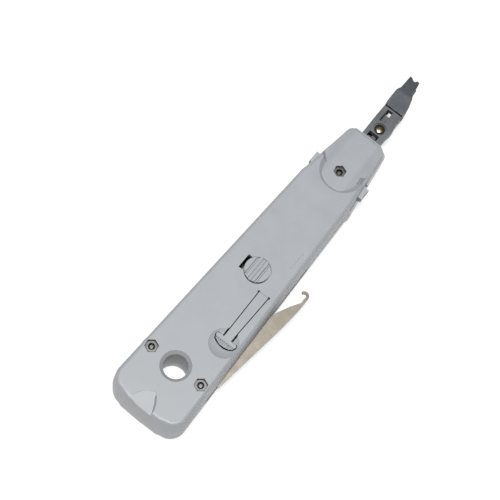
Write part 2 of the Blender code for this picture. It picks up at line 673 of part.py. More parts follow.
# ---- assembly ----------------------------------------------------------------------
clear_scene()
handle_abs = make_material("grey ABS", (0.47, 0.48, 0.50), 0.45)
dark_nylon = make_material("dark glass-filled nylon", (0.10, 0.105, 0.11), 0.5)
zinc_steel = make_material("zinc-plated steel", (0.55, 0.55, 0.53), 0.35, 1.0)
spring_steel = make_material("spring steel", (0.45, 0.42, 0.36), 0.35, 1.0)
tool_steel = make_material("blackened tool steel", (0.12, 0.12, 0.13), 0.4, 0.8)
brass = make_material("brass", (0.60, 0.48, 0.26), 0.3, 1.0)

head_axis = add_axis("head_axis", HEAD_X, HEAD_REAR_Y, ROD_Z)
cutter_axis = add_axis("cutter_axis", PIVOT_X, PIVOT_Y, 0)
hook_axis = add_axis("hook_axis", TAIL_SCREW_X, TAIL_SCREW_Y, 0, -HOOK_OUT_DEG)
knife_axis = add_axis("knife_axis", TAIL_SCREW_X, TAIL_SCREW_Y, 0)
tongue_axis = add_axis("tongue_axis", TONGUE_X, TONGUE_ROOT_Y, 19.6)
eject_axis = add_axis("eject_axis", BUTTON_X, BUTTON_Y, HANDLE_H)
lock_axis = add_axis("lock_axis", 0, LOCK_Y[0], 11)

lower_cover(handle_abs)
upper_cover(handle_abs)
for hand, side_name in ((-1, "left"), (1, "right")):
    tail_screw(f"tail_screw_{side_name}", hand * TAIL_SCREW_X, zinc_steel)
    nut(f"tail_nut_{side_name}", hand * TAIL_SCREW_X, TAIL_SCREW_Y, TAIL_NUT_AF, TAIL_SCREW_R + FIT,
        TAIL_NUT_Z, zinc_steel)
    hang(tip_rivet(f"tip_rivet_{side_name}", hand * RIVET_X, zinc_steel), head_axis)
nose_screw(zinc_steel)
nut("nose_nut", 0, NOSE_SCREW_Y, NOSE_NUT_AF, NOSE_SCREW_R + FIT, NOSE_NUT_Z, zinc_steel)
ring_piece("tool_pivot_sleeve", TAIL_SCREW_X, TAIL_SCREW_Y, SLEEVE_R, TAIL_SCREW_R + FIT,
           (KNIFE_Z[0], LOWER_RIM_Z), zinc_steel)
ring_piece("tool_spacer", TAIL_SCREW_X, TAIL_SCREW_Y, 3.0, SLEEVE_R + FIT, SPACER_Z, zinc_steel)
tool_detent_spring(spring_steel)
cutter_cam_plate(zinc_steel)
spring_abutment(zinc_steel)

hook_blade(hook_axis, spring_steel)
knife_blade(knife_axis, spring_steel)
moving_cutter(cutter_axis, tool_steel)
cutter_follower_pin(cutter_axis, zinc_steel)

HEAD_PIECES = (
    (head_frame, dark_nylon), (insertion_blade, tool_steel), (fixed_cutter, tool_steel),
    (cutter_pivot_pin, brass), (plunger_rod, zinc_steel),
    (rod_cross_pin, zinc_steel), (rod_clip, zinc_steel), (return_spring, spring_steel),
)
for make_piece, finish in HEAD_PIECES:
    hang(make_piece(finish), head_axis)
hang(release_tongue(handle_abs), tongue_axis)
hang(eject_button(handle_abs), eject_axis)
hang(eject_carrier(handle_abs), eject_axis)
hang(cutter_lock_slider(handle_abs), lock_axis)
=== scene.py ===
"""A punch down tool for telephone terminal blocks, built up piece by piece.

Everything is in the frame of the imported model: +Y runs along the tool to its tip,
+X points to the side where the hook folds out, +Z is up from the underside.
Places and sizes are written in millimetres and scaled once, where they are used.
"""

import math

import bmesh
import bpy
from mathutils import Matrix, Vector


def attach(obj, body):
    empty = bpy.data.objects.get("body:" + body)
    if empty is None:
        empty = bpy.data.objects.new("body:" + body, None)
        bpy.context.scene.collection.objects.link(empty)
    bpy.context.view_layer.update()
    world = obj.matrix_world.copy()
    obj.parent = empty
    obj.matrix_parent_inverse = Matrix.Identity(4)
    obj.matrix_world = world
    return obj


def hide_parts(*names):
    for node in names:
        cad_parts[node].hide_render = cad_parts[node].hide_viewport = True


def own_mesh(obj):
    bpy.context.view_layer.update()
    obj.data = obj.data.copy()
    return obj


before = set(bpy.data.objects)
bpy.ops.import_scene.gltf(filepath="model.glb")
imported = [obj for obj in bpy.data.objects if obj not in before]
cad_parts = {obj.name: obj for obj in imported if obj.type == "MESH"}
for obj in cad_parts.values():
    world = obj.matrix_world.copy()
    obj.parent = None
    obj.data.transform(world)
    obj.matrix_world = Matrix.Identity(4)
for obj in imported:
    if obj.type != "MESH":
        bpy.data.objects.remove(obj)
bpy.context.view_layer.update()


# ------------------------------------------------------------------ the lower cover
# A tray moulded in light grey ABS with a spark-eroded satin face. It carries the
# screw bosses, the slot that the two tools fold into, and the ledge round the nose.
MM = 0.001
RIM_Z = 10.4
WALL = 2.0


def leave_edit():
    """Put the piece down and let go of everything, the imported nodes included."""
    if bpy.context.object and bpy.context.object.mode == "EDIT":
        bpy.ops.object.mode_set(mode="OBJECT")
    bpy.ops.object.select_all(action="DESELECT")


def work_on(piece):
    leave_edit()
    bpy.context.view_layer.objects.active = piece
    piece.select_set(True)
    bpy.ops.object.mode_set(mode="EDIT")


def settle():
    """Fix the place of the active piece in its mesh, so that its own origin is the frame's."""
    bpy.ops.object.transform_apply(location=True, rotation=True, scale=True)
    return bpy.context.object


def arc(x, y, radius, start, end, steps):
    turn = [math.radians(start + (end - start) * step / steps) for step in range(steps + 1)]
    return [(x + radius * math.cos(angle), y + radius * math.sin(angle)) for angle in turn]


def trace(name, outline, z):
    """Pull one corner along an outline, close it with a face that looks up, and keep it selected."""
    leave_edit()
    bpy.ops.mesh.primitive_plane_add(size=MM, location=(0, 0, 0))
    piece = bpy.context.object
    piece.name = name
    bpy.ops.object.mode_set(mode="EDIT")
    bpy.ops.mesh.select_mode(type="VERT")
    bpy.ops.mesh.merge(type="CENTER")
    bpy.ops.transform.translate(value=(outline[0][0] * MM, outline[0][1] * MM, z * MM))
    for (x0, y0), (x1, y1) in zip(outline, outline[1:]):
        bpy.ops.mesh.extrude_region_move(
            TRANSFORM_OT_translate={"value": ((x1 - x0) * MM, (y1 - y0) * MM, 0)})
    bpy.ops.mesh.select_all(action="SELECT")
    bpy.ops.mesh.edge_face_add()
    if bmesh.from_edit_mesh(piece.data).faces[:][0].normal.z < 0:
        bpy.ops.mesh.flip_normals()
    return piece


def pick(kind, test):
    """Select the corners, edges or faces whose place in millimetres and normal pass a test."""
    bpy.ops.mesh.select_mode(type=kind)
    bpy.ops.mesh.select_all(action="DESELECT")
    work = bmesh.from_edit_mesh(bpy.context.object.data)
    for item in {"VERT": work.verts, "EDGE": work.edges, "FACE": work.faces}[kind]:
        if kind == "VERT":
            place, normal = item.co, item.normal
        elif kind == "EDGE":
            place = (item.verts[0].co + item.verts[1].co) / 2
            normal = (item.verts[1].co - item.verts[0].co).normalized()
        else:
            place, normal = item.calc_center_median(), item.normal
        if test(place / MM, normal):
            item.select_set(True)
    work.select_flush_mode()
    bmesh.update_edit_mesh(bpy.context.object.data)


def raise_by(height, sideways=(0, 0)):
    bpy.ops.mesh.extrude_region_move(
        TRANSFORM_OT_translate={"value": (sideways[0] * MM, sideways[1] * MM, height * MM)})


def step_in(inset, depth):
    bpy.ops.mesh.inset(thickness=inset * MM, depth=depth * MM, use_even_offset=True)


def close_piece():
    """Merge doubled corners, turn every face outwards and leave the piece in object mode."""
    bpy.ops.mesh.select_all(action="SELECT")
    bpy.ops.mesh.remove_doubles(threshold=0.002 * MM)
    bpy.ops.mesh.normals_make_consistent(inside=False)
    bpy.ops.object.mode_set(mode="OBJECT")
    return bpy.context.object


def slab(name, outline, low, high):
    """A flat piece cut to an outline, from one height to another."""
    trace(name, outline, low)
    raise_by(high - low)
    return close_piece()


def block(name, x_range, y_range, z_range):
    leave_edit()
    middle = [sum(pair) / 2 * MM for pair in (x_range, y_range, z_range)]
    size = [(pair[1] - pair[0]) * MM for pair in (x_range, y_range, z_range)]
    bpy.ops.mesh.primitive_cube_add(size=1, location=middle, scale=size)
    bpy.context.object.name = name
    return settle()


def drum(name, x, y, radius, low, high, top_radius=None, sides=64, turn=0):
    leave_edit()
    bpy.ops.mesh.primitive_cone_add(
        vertices=sides, radius1=radius * MM, radius2=(radius if top_radius is None else top_radius) * MM,
        depth=(high - low) * MM, location=(x * MM, y * MM, (low + high) / 2 * MM),
        rotation=(0, 0, math.radians(turn)))
    bpy.context.object.name = name
    return settle()


def flared_bore(y, steps):
    """A round cutter whose radius follows (height, radius) steps, for a hole with a lead-in."""
    leave_edit()
    (low, radius), *rest = steps
    bpy.ops.mesh.primitive_circle_add(
        vertices=64, radius=radius * MM, fill_type="NGON", location=(0, y * MM, low * MM))
    cutter = settle()
    work_on(cutter)
    bpy.ops.mesh.select_all(action="SELECT")
    for high, wider in rest:
        raise_by(high - low)
        bpy.ops.transform.resize(
            value=(wider / radius, wider / radius, 1), center_override=(0, y * MM, 0))
        low, radius = high, wider
    return close_piece()


def apply_modifier(piece, kind, **settings):
    leave_edit()
    bpy.context.view_layer.objects.active = piece
    made = piece.modifiers.new(kind.lower(), kind)
    for key, value in settings.items():
        setattr(made, key, value)
    bpy.ops.object.modifier_apply(modifier=made.name)


def carve(piece, *tools, operation="DIFFERENCE"):
    """Cut tools out of a piece, or join them on, and throw the tools away."""
    for tool in tools:
        apply_modifier(piece, "BOOLEAN", operation=operation, solver="EXACT", object=tool)
        bpy.data.objects.remove(tool, do_unlink=True)


def smooth(piece):
    """Shade the curves smooth and the flats flat."""
    leave_edit()
    bpy.context.view_layer.objects.active = piece
    piece.select_set(True)
    bpy.ops.object.shade_smooth_by_angle(angle=math.radians(38))
    apply_modifier(piece, "WEIGHTED_NORMAL", mode="FACE_AREA", weight=90, keep_sharp=True)
    leave_edit()


def soften(piece, width, angle=32, segments=2):
    """Round every sharp edge a little, as a mould or a file does, and smooth what is left."""
    work_on(piece)
    bpy.ops.mesh.select_all(action="SELECT")
    bpy.ops.mesh.remove_doubles(threshold=0.01 * MM)
    leave_edit()
    apply_modifier(piece, "BEVEL", width=width * MM, segments=segments, limit_method="ANGLE",
                   angle_limit=math.radians(angle), use_clamp_overlap=True, loop_slide=False)
    smooth(piece)


def side_half(stations, y):
    for (y0, half0), (y1, half1) in zip(stations, stations[1:]):
        if y <= y1:
            return half0 + (half1 - half0) * (y - y0) / (y1 - y0)
    return stations[-1][1]


def handle_plan(stations, nose_y, tail_y=-70.3, tail_r=6.5, nose_r=3.2):
    """The handle seen from above: straight tapering sides, round corners, bowed ends."""
    tail_corner_x = stations[0][1] - tail_r
    right = [(0.0, tail_y), (tail_corner_x * 0.5, tail_y + 0.14), (tail_corner_x * 0.85, tail_y + 0.21)]
    right += arc(tail_corner_x, stations[0][0], tail_r, -86, 0, 12)
    right += [(half, y) for y, half in stations[1:-1]]
    nose_slope = 7.5
    corner_y = nose_y - nose_r
    meet_y = corner_y + nose_r * math.sin(math.radians(nose_slope))
    corner_x = side_half(stations, meet_y) - nose_r * math.cos(math.radians(nose_slope))
    right += arc(corner_x, corner_y, nose_r, nose_slope, 87, 9)
    return right + [(0.0, nose_y + 0.2)] + [(-x, y) for x, y in reversed(right[1:])]


def moulded_shell(name, plan, rim_z, profile, hollow):
    """Draw a cover from its rim to its face through a profile of (inset, rise, nose setback),
    then close the rim and sink the hollow into it: (wall, depth, taper)."""
    facing = 1 if profile[0][1] > 0 else -1
    trace(name, plan, rim_z)
    if facing < 0:
        bpy.ops.mesh.flip_normals()
    reached = rim_z
    for inset, rise, setback in profile:
        step_in(inset, abs(rise))
        reached += rise
        if setback:
            level = reached
            pick("VERT", lambda place, _: abs(place.z - level) < 0.02 and place.y > 60)
            bpy.ops.transform.translate(value=(0, -setback * MM, 0))
            pick("FACE", lambda place, _: abs(place.z - level) < 0.02)
    bpy.ops.mesh.select_mode(type="EDGE")
    bpy.ops.mesh.select_all(action="DESELECT")
    bpy.ops.mesh.select_non_manifold()
    bpy.ops.mesh.edge_face_add()
    bpy.ops.mesh.select_mode(type="FACE")
    wall, depth, taper = hollow
    bpy.ops.mesh.inset(thickness=wall * MM, depth=0)
    bpy.ops.mesh.extrude_region_move(TRANSFORM_OT_translate={"value": (0, 0, facing * depth * MM)})
    bpy.ops.mesh.inset(thickness=taper * MM, depth=0)
    return close_piece()


LOWER_SIDES = ((-63.0, 16.0), (42.0, 12.45), (43.2, 12.85), (72.3, 9.0))
lower = moulded_shell(
    "tray_of_grey_abs", handle_plan(LOWER_SIDES, 72.3), RIM_Z,
    ((0.12, -6.0, 0), (0.13, -2.8, 0), (0.2, -0.7, 0), (0.3, -0.5, 0), (0.35, -0.25, 0), (0.5, -0.15, 0)),
    (WALL, 8.4, 0.3))
HANGER_Y = -50.0
SCREW_X = 11.24
SCREW_Y = -49.8
NOSE_SCREW_Y = 49.9
carve(
    lower,
    drum("boss", 0, HANGER_Y, 6.6, 1.5, RIM_Z),
    drum("boss", -SCREW_X, SCREW_Y, 3.5, 1.5, RIM_Z),
    drum("boss", SCREW_X, SCREW_Y, 3.5, 1.5, 5.9),
    drum("boss", 0, NOSE_SCREW_Y, 2.9, 1.5, 6.8),
    operation="UNION",
)
carve(
    lower,
    flared_bore(HANGER_Y, ((-1, 6.6), (0, 5.8), (0.5, 5.3), (12, 5.3))),
    drum("screw_hole", -SCREW_X, SCREW_Y, 1.55, -1, 12, sides=32),
    drum("screw_hole", SCREW_X, SCREW_Y, 1.55, -1, 12, sides=32),
    drum("screw_hole", 0, NOSE_SCREW_Y, 1.3, -1, 12, sides=32),
    drum("counterbore", -SCREW_X, SCREW_Y, 2.7, -1, 2.5, sides=40),
    drum("counterbore", SCREW_X, SCREW_Y, 2.7, -1, 2.5, sides=40),
    drum("counterbore", 0, NOSE_SCREW_Y, 2.3, -1, 2.5, sides=40),
    block("nose_mouth", (-4.4, 5.6), (66, 75), (6.8, 12)),
    block("tool_slot", (10.4, 18), (-50.8, 14.0), (5.9, 12)),
    drum("eye_pocket", SCREW_X, SCREW_Y, 3.6, 5.9, 12),
    block("lock_slot", (-15, 15), (42.8, 56.4), (9.0, 12)),
)
smooth(lower)


def linear(code):
    """An sRGB hex colour as the linear values that a shader takes."""
    channels = [int(code[start:start + 2], 16) / 255 for start in (0, 2, 4)]
    return [c / 12.92 if c <= 0.04045 else ((c + 0.055) / 1.055) ** 2.4 for c in channels] + [1.0]


def add_node(material, kind, links=None, inputs=None, **settings):
    """Add one node, set it, feed its inputs from (node, output) pairs, and hand it back."""
    node = material.node_tree.nodes.new(kind)
    for key, value in settings.items():
        setattr(node, key, value)
    for key, value in (inputs or {}).items():
        node.inputs[key].default_value = value
    for key, (source, output) in (links or {}).items():
        material.node_tree.links.new(source.outputs[output], node.inputs[key])
    return node


def start_material(name, **sockets):
    """A material with one shader and the piece's own coordinates to hang the rest on."""
    material = bpy.data.materials.new(name)
    material.use_nodes = True
    shader = material.node_tree.nodes["Principled BSDF"]
    for key, value in sockets.items():
        shader.inputs[key.replace("_", " ")].default_value = value
    return material, shader, add_node(material, "ShaderNodeTexCoord")


def drive(material, shader, socket, source, output):
    material.node_tree.links.new(source.outputs[output], shader.inputs[socket])


def ramp_between(node, stops):
    """Set a colour ramp's stops from (place, hex colour) pairs."""
    ramp = node.color_ramp
    while len(ramp.elements) < len(stops):
        ramp.elements.new(0.5)
    for element, (place, code) in zip(ramp.elements, stops):
        element.position = place
        element.color = linear(code)
    return node


def moulded_abs(name, dark, middle, light, roughness):
    """ABS from a spark-eroded mould: a fine satin grain and the faint cloud of handling."""
    material, shader, where = start_material(name, IOR=1.54)
    cloud = add_node(material, "ShaderNodeTexNoise", {"Vector": (where, "Object")},
                     {"Scale": 90.0, "Detail": 4.0, "Roughness": 0.6})
    tone = ramp_between(add_node(material, "ShaderNodeValToRGB", {"Fac": (cloud, "Fac")}),
                        ((0.3, dark), (0.5, middle), (0.7, light)))
    drive(material, shader, "Base Color", tone, "Color")
    # grain 0.4 mm across, coarser than a real spark-eroded one so that it shows
    grain = add_node(material, "ShaderNodeTexNoise", {"Vector": (where, "Object")},
                     {"Scale": 2600.0, "Detail": 2.0, "Roughness": 0.5})
    sheen = add_node(material, "ShaderNodeMapRange", {"Value": (cloud, "Fac")},
                     {"From Min": 0.3, "From Max": 0.7, "To Min": roughness - 0.05,
                      "To Max": roughness + 0.06})
    drive(material, shader, "Roughness", sheen, "Result")
    relief = add_node(material, "ShaderNodeBump", {"Height": (grain, "Fac")},
                      {"Strength": 0.04, "Distance": 0.00001})
    drive(material, shader, "Normal", relief, "Normal")
    return material


handle_abs = moulded_abs("light_grey_satin_abs", "A0A3A7", "A3A6AA", "A6A9AD", 0.44)


def finish(piece, material, slot, body, *stands_for):
    """Give a finished piece its material and the body it rides on, and hide the nodes it stands for; the
    slot is not used.
    """
    piece.data.materials.clear()
    piece.data.materials.append(material)
    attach(piece, body)
    if stands_for:
        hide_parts(*stands_for)
    return piece


finish(lower, handle_abs, "handle_abs", "handle", "lower_cover")


# ---------------------------------------------------- the knife, the hook and their pivot
# Two flat leaves stamped from rolled spring steel and tempered to a straw grey. Both
# have an eye on a steel sleeve round the right tail screw, with a washer between them.
def worked_metal(name, dark, middle, light, roughness, grain_mm, lay=(1, 1, 1), metallic=1.0):
    """A metal with the fine marks of its working, and a little tarnish in soft patches."""
    material, shader, where = start_material(name, Metallic=metallic)
    turned = add_node(material, "ShaderNodeMapping", {"Vector": (where, "Object")}, {"Scale": lay})
    marks = add_node(material, "ShaderNodeTexNoise", {"Vector": (turned, "Vector")},
                     {"Scale": 1.0 / (grain_mm * MM), "Detail": 3.0, "Roughness": 0.6})
    tarnish = add_node(material, "ShaderNodeTexNoise", {"Vector": (where, "Object")},
                       {"Scale": 240.0, "Detail": 5.0, "Roughness": 0.65})
    both = add_node(material, "ShaderNodeMix", {"A": (marks, "Fac"), "B": (tarnish, "Fac")},
                    {"Factor": 0.5})
    tone = ramp_between(add_node(material, "ShaderNodeValToRGB", {"Fac": (both, "Result")}),
                        ((0.38, dark), (0.5, middle), (0.62, light)))
    drive(material, shader, "Base Color", tone, "Color")
    spread = add_node(material, "ShaderNodeMapRange", {"Value": (marks, "Fac")},
                      {"From Min": 0.3, "From Max": 0.7, "To Min": roughness - 0.07,
                       "To Max": roughness + 0.09})
    drive(material, shader, "Roughness", spread, "Result")
    relief = add_node(material, "ShaderNodeBump", {"Height": (marks, "Fac")},
                      {"Strength": 0.2, "Distance": 0.00002})
    drive(material, shader, "Normal", relief, "Normal")
    return material


def refinish(node_name, material):
    """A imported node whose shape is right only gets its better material."""
    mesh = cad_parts[node_name].data
    mesh.materials.clear()
    mesh.materials.append(material)


# rolling marks run along the leaf, 0.25 mm apart and six times as long
spring_steel = worked_metal("straw_tempered_spring_steel", "78736A", "837E74", "8F8A7F", 0.44,
                            0.25, (6, 1, 6))
zinc_steel = worked_metal("zinc_plated_steel", "5C5C5B", "6A6A69", "787877", 0.4, 0.3)
HOOK_OUT = 8.2


def leaf_plan(tip, swung):
    """A folding tool in its place: eye, slim neck, wide leaf, then the outline of its tip."""
    shape = arc(0, 0, 3.3, 165, 345, 20) + [(0.7, 3.2), (0.7, 4.2), (1.2, 5.6), (3.74, 6.7)]
    shape += tip + [(-4.0, 34.0), (-4.0, 8.0)]
    turn = Matrix.Rotation(math.radians(-swung), 2)
    return [tuple(turn @ Vector(corner) + Vector((SCREW_X, SCREW_Y))) for corner in shape]


hook_tip = [(3.1, 40.0), (2.5, 49.0), (2.0, 53.1)] + arc(-0.2, 54.95, 1.9, 15, 165, 12)
hook_tip += arc(-0.2, 54.95, 0.85, 180, -25, 12) + [(0.93, 52.2), (-0.8, 48.0), (-2.6, 42.4)]
knife_tip = [(2.3, 47.0), (1.6, 54.6), (0.2, 54.9), (-1.3, 47.0), (-2.6, 42.4)]
hook = slab("wire_hook_leaf", leaf_plan(hook_tip, HOOK_OUT), 8.4, 9.4)
knife = slab("prising_knife_leaf", leaf_plan(knife_tip, 0), 6.2, 7.2)
work_on(knife)
pick("EDGE", lambda place, _: place.z > 7.1 and place.y > 4.0)
bpy.ops.mesh.bevel(offset=0.45 * MM, segments=1, affect="EDGES")
close_piece()
for leaf, low, high in ((hook, 8, 10), (knife, 6, 8)):
    carve(leaf, drum("eye", SCREW_X, SCREW_Y, 2.3, low, high, sides=48))
    soften(leaf, 0.1)
finish(hook, spring_steel, "spring_steel", "hook", "hook_blade")
finish(knife, spring_steel, "spring_steel", "knife", "knife_blade")
for name in ("tool_pivot_sleeve", "tool_spacer"):
    refinish(name, zinc_steel)
refinish("tool_detent_spring", spring_steel)


# ------------------------------------------------------------ the plunger and its spring
# A zinc-plated rod pinned in the back of the head, a coil of spring wire round it and
# a steel plate across the handle to push against. All of it is inside the covers.
for name in ("plunger_rod", "rod_cross_pin", "rod_clip", "spring_abutment", "cutter_cam_plate"):
    refinish(name, zinc_steel)

ROD_X = 0.35
ROD_Z = 10.2
SPRING_BACK = 11.25
SPRING_FRONT = 41.25
COILS = 8
COIL_R = 3.1
WIRE_R = 0.45
PITCH = (SPRING_FRONT - SPRING_BACK) / COILS
leave_edit()
bpy.ops.mesh.primitive_circle_add(vertices=14, radius=WIRE_R * MM, location=(COIL_R * MM, 0, 0))
coil = settle()
coil.name = "coil_of_spring_wire"
apply_modifier(coil, "SCREW", axis="Y", angle=math.tau, screw_offset=PITCH * MM,
               iterations=COILS, steps=36, render_steps=36, use_smooth_shade=False)
work_on(coil)
bpy.ops.mesh.select_all(action="SELECT")
bpy.ops.mesh.fill_holes(sides=0)
close_piece()
coil.location = Vector((ROD_X, SPRING_BACK, ROD_Z)) * MM
coil.select_set(True)
settle()
smooth(coil)
finish(coil, spring_steel, "spring_steel", "handle", "return_spring")
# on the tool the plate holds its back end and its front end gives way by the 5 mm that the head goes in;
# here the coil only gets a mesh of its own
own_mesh(coil)


# ---------------------------------------------------------------------- the sliding head
# A channel moulded in dark grey glass-filled nylon. It slides in the nose on the rod,
# and its two windows show the cutter on its pivot.
nylon = moulded_abs("dark_grey_glass_filled_nylon", "595C5F", "616468", "6A6D70", 0.5)
HEAD_TOP = 13.2
PIVOT_X = 0.6
PIVOT_Y = 78.0
head = slab("sliding_head", [
    (-3.9, 42.0), (4.6, 42.0), (4.6, 77.9), (5.0, 80.6), (4.9, 82.2), (4.4, 83.2), (4.4, 88.0),
    (-4.1, 88.0), (-4.1, 80.0), (-3.9, 74.0)], 7.2, HEAD_TOP)
carve(
    head,
    block("channel", (-2.4, 3.6), (57, 90), (8.7, 10.9)),
    block("screw_slot", (-1.5, 1.5), (48.5, 56.5), (5, 15)),
    drum("pivot_bore", PIVOT_X, PIVOT_Y, 1.5, 5, 15, sides=40),
    drum("pivot_seat", PIVOT_X, PIVOT_Y, 2.6, 12.3, 15),
    block("top_window", (-1.9, 0.5), (81.2, 87.2), (10.6, 15)),
    block("rear_window", (-2.0, 2.4), (69, 75), (10.6, 15)),
    block("bottom_window", (-1.4, 0.6), (86.9, 90), (5, 9)),
    block("follower_slot", (-0.6, 3.2), (60.2, 62.8), (5, 9)),
    block("rod_socket", (-1.6, 2.3), (40, 47.2), (8.3, 12.1)),
    drum("pin_hole", 0.35, 44.5, 0.8, 5, 15, sides=24),
)
soften(head, 0.16)
finish(head, nylon, "head_nylon", "head", "head_frame")


# ---------------------------------------------------------- the blades of the working end
# Three pieces of tool steel, ground flat and blackened: the notched blade that pushes
# the wire home, the fixed edge under it, and the scissor blade that crops the end off.
tool_steel = worked_metal("blackened_ground_tool_steel", "585C60", "64686D", "70747A", 0.42, 0.22,
                          (1, 5, 1), metallic=0.5)
pusher = slab("notched_pusher_blade", [
    (-4.1, 88.3), (4.4, 88.3), (4.4, 90.3), (4.0, 93.4), (3.1, 96.4), (2.3, 97.5), (1.5, 98.6),
    (1.3, 103.2), (0.9, 105.6), (-0.2, 105.8), (-0.7, 104.9), (-1.25, 104.6), (-1.8, 104.9),
    (-2.7, 105.6), (-3.7, 105.8), (-3.7, 98.4), (-4.2, 97.5), (-4.5, 96.3), (-4.4, 90.2),
], 10.9, 13.7)
skirt = slab("skirt", [
    (-4.3, 88.3), (-2.6, 88.3), (-2.6, 105.0), (-3.6, 105.0), (-3.6, 98.4), (-4.3, 96.3)], 9.0, 11.4)
carve(pusher, skirt, operation="UNION")
anvil = slab("fixed_cutting_edge", [
    (-4.1, 88.3), (4.4, 88.3), (4.4, 90.3), (4.0, 93.4), (3.1, 96.4), (1.9, 98.4), (1.6, 103.0),
    (0.9, 105.0), (-3.7, 105.0), (-3.7, 98.4), (-4.5, 96.3), (-4.4, 90.2)], 6.7, 8.7)
for blade, low, high, drop in ((pusher, 13.7, 16, -1.7), (anvil, 4, 6.7, 1.2)):
    wedge = block("grind", (-6, 6), (97, 108), (low, high))
    work_on(wedge)
    face_z = 13.7 if drop < 0 else 6.7
    pick("VERT", lambda place, _: place.y > 107 and abs(place.z - face_z) < 0.1)
    bpy.ops.transform.translate(value=(0, 0, drop * MM))
    close_piece()
    carve(blade, wedge)
carve(
    anvil,
    block("window", (-1.4, 0.6), (86, 91), (5, 10)),
    drum("rivet_hole", -2.6, 93.2, 0.95, 5, 10, sides=24),
    drum("rivet_hole", 2.6, 93.2, 0.95, 5, 10, sides=24),
)
cropper = slab("cropping_scissor_blade", [(x + PIVOT_X, y + PIVOT_Y) for x, y in (
    [(-0.9, -17.6), (0.9, -17.6)] + arc(0, 0, 2.6, -68, 28, 12)
    + [(2.5, 10.0), (2.5, 18.0), (2.1, 20.5), (1.1, 22.4), (1.1, 25.0), (0.5, 25.4), (0.0, 24.4),
       (-0.2, 12.0), (-0.3, 7.0), (-1.1, 4.6)] + arc(0, 0, 2.6, 115, 248, 16))], 9.0, 10.6)
carve(cropper, drum("eye", PIVOT_X, PIVOT_Y, 1.5, 8, 12, sides=40))
for blade, body, node in ((pusher, "head", "insertion_blade"), (anvil, "head", "fixed_cutter"),
                          (cropper, "cutter", "moving_cutter")):
    soften(blade, 0.1)
    finish(blade, tool_steel, "tool_steel", body, node)
refinish("cutter_follower_pin", zinc_steel)


# ----------------------------------------------------------------- the pivot and rivets
# The cutter turns on a pin of turned brass, domed over in its seat in the head. Two
# small steel rivets hold the working end together from below.
brass = worked_metal("turned_brass", "8F846A", "A99E82", "C6BC9E", 0.24, 0.2)
pivot = drum("domed_brass_pivot", PIVOT_X, PIVOT_Y, 2.15, 12.6, 12.85, sides=48)
work_on(pivot)
pick("FACE", lambda place, normal: normal.z > 0.9)
for inset, rise in ((0.08, 0.18), (0.16, 0.16), (0.25, 0.14), (0.35, 0.11), (0.45, 0.07), (0.45, 0.03)):
    step_in(inset, rise)
close_piece()
carve(pivot, drum("shank", PIVOT_X, PIVOT_Y, 1.2, 7.4, 12.7, sides=48), operation="UNION")
soften(pivot, 0.05, 50)
finish(pivot, brass, "brass", "head", "cutter_pivot_pin")
for x, node in ((-2.6, "tip_rivet_left"), (2.6, "tip_rivet_right")):
    rivet = drum(node.replace("tip_rivet", "domed_rivet"), x, 93.2, 0.65, 7.05, 8.6, sides=32)
    work_on(rivet)
    pick("FACE", lambda place, normal: normal.z < -0.9)
    for inset, rise in ((0.12, 0.09), (0.2, 0.06)):
        step_in(inset, rise)
    close_piece()
    soften(rivet, 0.03, 50)
    finish(rivet, zinc_steel, "zinc_steel", "head", node)


# ------------------------------------------------------------------------ the cutter lock
# A bridge of the grey ABS over the head, with a thumb tab out of each side of the nose.
lock = block("cutter_lock_bridge", (-7.4, 7.4), (46.4, 54.2), (14.0, 15.4))
for hand in (-1, 1):
    arm = block("arm", sorted((hand * 6.2, hand * 7.6)), (49.2, 54.2), (9.3, 15.0))
    tab = block("tab", sorted((hand * 7.0, hand * 12.7)), (49.2, 54.2), (9.3, 12.4))
    carve(lock, arm, tab, operation="UNION")
    for y in (50.4, 51.5, 52.6):
        carve(lock, block("grip", sorted((hand * 12.4, hand * 13.5)), (y, y + 0.5), (9, 13)))
carve(lock, block("screw_slot", (-1.5, 1.5), (46.9, 55.2), (13, 17)))
soften(lock, 0.14)
finish(lock, handle_abs, "handle_abs", "cutter_lock", "cutter_lock_slider")


# ------------------------------------------------------------------------ the upper cover
# The lid of the same ABS, held by three screws. Its crown has a soft edge all round,
# and it holds the nut pockets, the finger dish, the slits of the tongue and the nose.
UPPER_SIDES = ((-63.0, 15.9), (41.5, 12.3), (43.2, 11.9), (72.3, 8.3))
FACE_Z = 20.5
upper = moulded_shell(
    "lid_of_grey_abs", handle_plan(UPPER_SIDES, 71.4), 10.45,
    ((0.15, 2.45, 0.2), (0.15, 2.1, 0.3), (0.12, 1.8, 0.6), (0.13, 1.8, 0.9), (0.12, 0.6, 0.5),
     (0.2, 0.6, 0.4), (0.3, 0.4, 0.25), (0.45, 0.23, 0.15), (0.6, 0.07, 0)),
    (WALL, 8.05, 0.8))
carve(
    upper,
    drum("boss", 0, HANGER_Y, 6.6, 10.45, 19.0),
    drum("boss", -SCREW_X, SCREW_Y, 3.8, 10.7, 19.0),
    drum("boss", SCREW_X, SCREW_Y, 3.8, 10.7, 19.0),
    slab("nose_filler", [
        (-9.0, 40.5), (9.0, 40.5), (9.0, 57), (7.3, 66.5), (-7.3, 66.5), (-9.0, 57)], 15.9, 19.0),
    operation="UNION",
)


def hex_bore(x, y, across_flats, low, high):
    return drum("hexagon", x, y, across_flats / math.sqrt(3), low, high, sides=6, turn=9)


def ball(name, x, y, z, radius):
    leave_edit()
    bpy.ops.mesh.primitive_uv_sphere_add(
        segments=96, ring_count=96, radius=radius * MM, location=(x * MM, y * MM, z * MM))
    bpy.context.object.name = name
    return settle()


TONGUE_X = 8.0
TONGUE_ROOT_Y = -8.7
ROOT_GAP = 0.07
SLIT = 0.35
DISH_Y = -32.5


